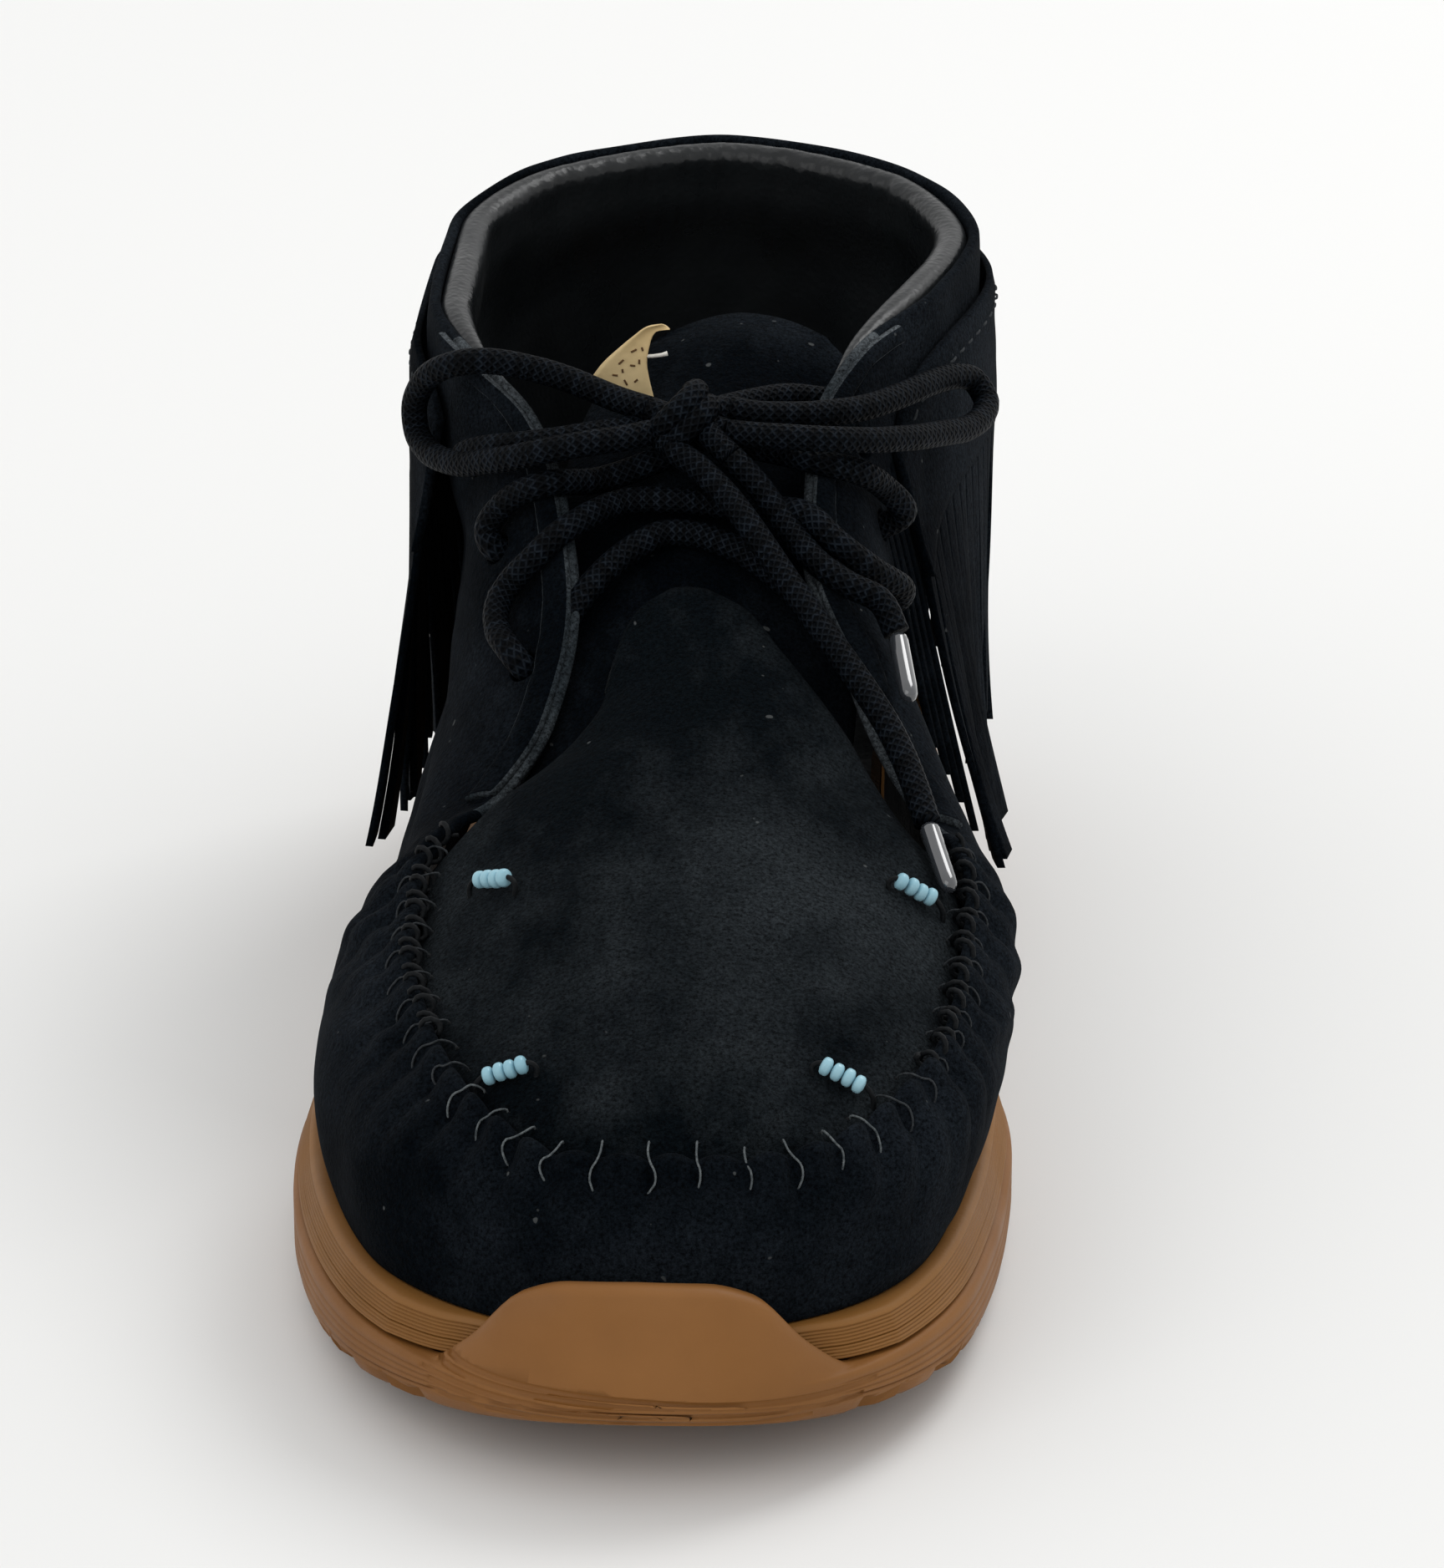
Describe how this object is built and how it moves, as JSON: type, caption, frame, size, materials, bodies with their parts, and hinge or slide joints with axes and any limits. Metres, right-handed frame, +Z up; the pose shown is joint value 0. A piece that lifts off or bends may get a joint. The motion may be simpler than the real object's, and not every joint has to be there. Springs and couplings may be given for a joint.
{
  "type": "moccasin boot",
  "caption": "Ankle-high fringed suede moccasin boot with a round lace and bow, padded collar and gum rubber sneaker sole",
  "frame": {"origin": "on the floor under the middle of the shoe's box", "axes": "+Z up, +Y from the toe to the heel, +X to the inner side of the foot"},
  "size_m": [0.1092, 0.2934, 0.1195],
  "materials": {
    "gum_rubber": "matte gum rubber",
    "gum_midsole": "matte ribbed gum rubber",
    "lining_leather": "smooth dark lining leather",
    "dark_suede": "napped near-black suede",
    "natural_leather": "natural vegetable tanned leather",
    "bead": "glossy turquoise bead",
    "lace": "round waxed cotton lace",
    "aglet": "clear lace tip over dark cotton"
  },
  "bodies": {
    "root": {"outsole": "gum_rubber", "midsole": "gum_midsole", "insole": "lining_leather", "upper": "dark_suede", "toe_plug": "dark_suede", "tongue": "dark_suede", "fringe_cape": "dark_suede", "tongue_tag": "natural_leather", "bead_row_1": "bead", "bead_row_2": "bead", "bead_row_3": "bead", "bead_row_4": "bead", "lace_bar_low": "lace", "lace_bar_middle": "lace", "lace_crossings": "lace", "lace_knot": "lace", "bow_loop_outer": "lace", "bow_loop_inner": "lace", "lace_end_long": "lace", "lace_end_short": "lace", "aglet_long": "aglet", "aglet_short": "aglet"}
  },
  "joints": []
}
